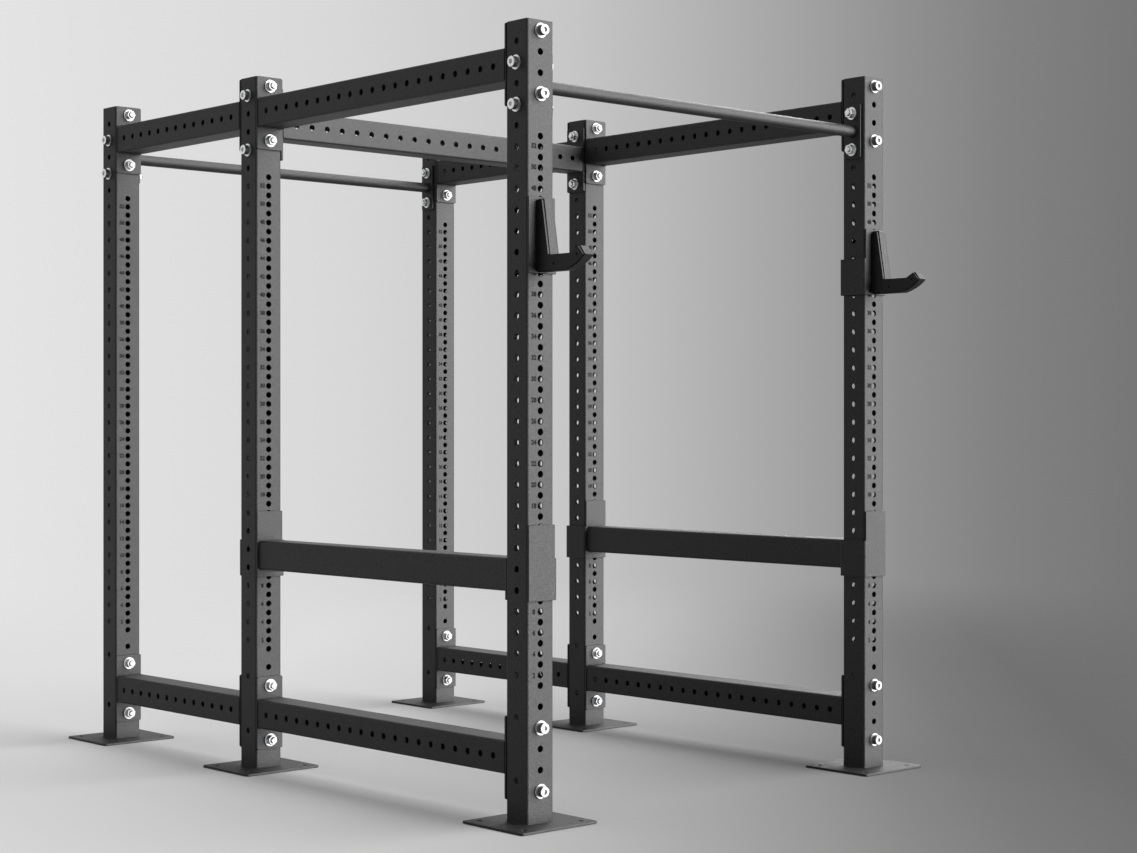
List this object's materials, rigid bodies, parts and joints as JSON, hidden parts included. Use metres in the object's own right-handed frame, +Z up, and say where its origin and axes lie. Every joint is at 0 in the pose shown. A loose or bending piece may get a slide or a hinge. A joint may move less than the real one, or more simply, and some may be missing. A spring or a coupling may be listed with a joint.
{
  "type": "power cage",
  "caption": "Free-standing power cage of bolted square tube with numbered hole uprights, pull-up bars, J-cups and safety beams that swing on pins.",
  "frame": {"origin": "on the floor, in the middle of the box that the cage and its J-cups fill", "axes": "+Z up; -Y is the front, the side with the J-cups; +X to the right for someone looking at the front"},
  "size_m": [1.41, 2.291, 1.906],
  "materials": {
    "frame": "fine-texture anthracite powder coat",
    "pull_up_bars": "fine-texture anthracite powder coat",
    "bolts": "bright zinc plate",
    "jcup_steel": "fine-texture anthracite powder coat",
    "jcup_liner": "satin black wear plastic",
    "safeties": "fine-texture anthracite powder coat"
  },
  "bodies": {
    "frame": {"upright_front_left": "frame", "upright_middle_left": "frame", "upright_rear_left": "frame", "side_beam_upper_front_left": "frame", "side_beam_upper_rear_left": "frame", "side_beam_lower_front_left": "frame", "side_beam_lower_rear_left": "frame", "upright_front_right": "frame", "upright_middle_right": "frame", "upright_rear_right": "frame", "side_beam_upper_front_right": "frame", "side_beam_upper_rear_right": "frame", "side_beam_lower_front_right": "frame", "side_beam_lower_rear_right": "frame", "cross_beam": "frame", "pull_up_bar_front": "pull_up_bars", "pull_up_bar_rear": "pull_up_bars", "bolt_front_left_upper_top": "bolts", "bolt_front_left_lower_top": "bolts", "side_bolt_front_left_top": "bolts", "bolt_front_left_upper_bottom": "bolts", "bolt_front_left_lower_bottom": "bolts", "side_bolt_front_left_bottom": "bolts", "bolt_middle_left_upper_top": "bolts", "bolt_middle_left_lower_top": "bolts", "side_bolt_middle_left_top": "bolts", "bolt_middle_left_upper_bottom": "bolts", "bolt_middle_left_lower_bottom": "bolts", "side_bolt_middle_left_bottom": "bolts", "bolt_rear_left_upper_top": "bolts", "bolt_rear_left_lower_top": "bolts", "side_bolt_rear_left_top": "bolts", "bolt_rear_left_upper_bottom": "bolts", "bolt_rear_left_lower_bottom": "bolts", "side_bolt_rear_left_bottom": "bolts", "bolt_front_right_upper_top": "bolts", "bolt_front_right_lower_top": "bolts", "side_bolt_front_right_top": "bolts", "bolt_front_right_upper_bottom": "bolts", "bolt_front_right_lower_bottom": "bolts", "side_bolt_front_right_bottom": "bolts", "bolt_middle_right_upper_top": "bolts", "bolt_middle_right_lower_top": "bolts", "side_bolt_middle_right_top": "bolts", "bolt_middle_right_upper_bottom": "bolts", "bolt_middle_right_lower_bottom": "bolts", "side_bolt_middle_right_bottom": "bolts", "bolt_rear_right_upper_top": "bolts", "bolt_rear_right_lower_top": "bolts", "side_bolt_rear_right_top": "bolts", "bolt_rear_right_upper_bottom": "bolts", "bolt_rear_right_lower_bottom": "bolts", "side_bolt_rear_right_bottom": "bolts"},
    "jcup_left": {"jcup_bracket_left": "jcup_steel", "jcup_liner_left": "jcup_liner"},
    "safety_left": {"safety_beam_left": "safeties"},
    "jcup_right": {"jcup_bracket_right": "jcup_steel", "jcup_liner_right": "jcup_liner"},
    "safety_right": {"safety_beam_right": "safeties"}
  },
  "joints": [
    {"name": "jcup_left_swing", "type": "hinge", "parent": "frame", "child": "jcup_left", "pos_m": [-0.59, -0.9495, 1.456], "axis": [0, -1, 0], "range_deg": [0, 90]},
    {"name": "safety_left_swing", "type": "hinge", "parent": "frame", "child": "safety_left", "pos_m": [-0.59, -0.3395, 0.681], "axis": [0, -1, 0], "range_deg": [0, 90]},
    {"name": "jcup_right_swing", "type": "hinge", "parent": "frame", "child": "jcup_right", "pos_m": [0.59, -0.9495, 1.456], "axis": [0, 1, 0], "range_deg": [0, 90]},
    {"name": "safety_right_swing", "type": "hinge", "parent": "frame", "child": "safety_right", "pos_m": [0.59, -0.3395, 0.681], "axis": [0, 1, 0], "range_deg": [0, 90]}
  ]
}
